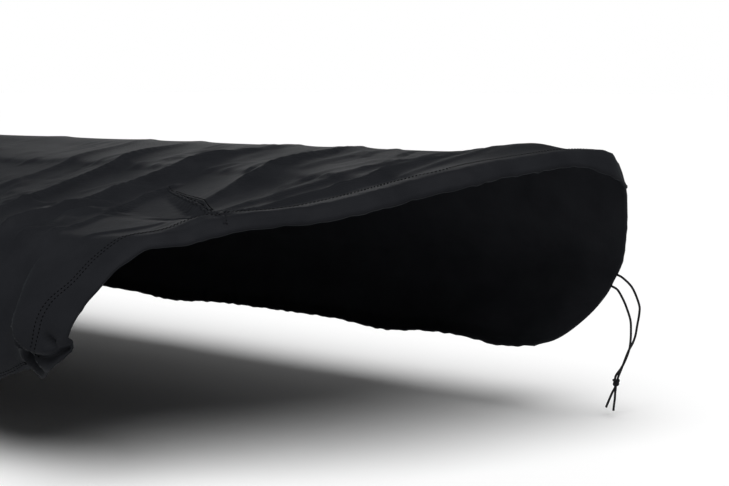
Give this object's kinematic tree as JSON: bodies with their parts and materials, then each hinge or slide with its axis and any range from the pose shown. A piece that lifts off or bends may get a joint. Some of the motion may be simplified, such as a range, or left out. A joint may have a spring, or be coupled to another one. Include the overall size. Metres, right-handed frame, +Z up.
{
  "type": "piano cover",
  "caption": "Fitted stretch-cloth dust cover for a long, low keyboard, hollow, with a drawn-in hem and drawcord, its right end pulled up and back over the top.",
  "frame": {"origin": "the middle of the underside of the top, where the covered body carries the cover", "axes": "+X along the length towards the open right end, +Y towards the rear, +Z up"},
  "size_m": [1.346, 0.4168, 0.2109],
  "materials": {
    "cover_cloth": "matte black stretch knit with a soft sheen",
    "drawcord": "matte black braided cord"
  },
  "bodies": {
    "root": {"cover_cloth": "cover_cloth", "drawcord_strand_a": "drawcord", "drawcord_strand_b": "drawcord", "drawcord_knot": "drawcord", "drawcord_tail_a": "drawcord", "drawcord_tail_b": "drawcord"}
  },
  "joints": []
}
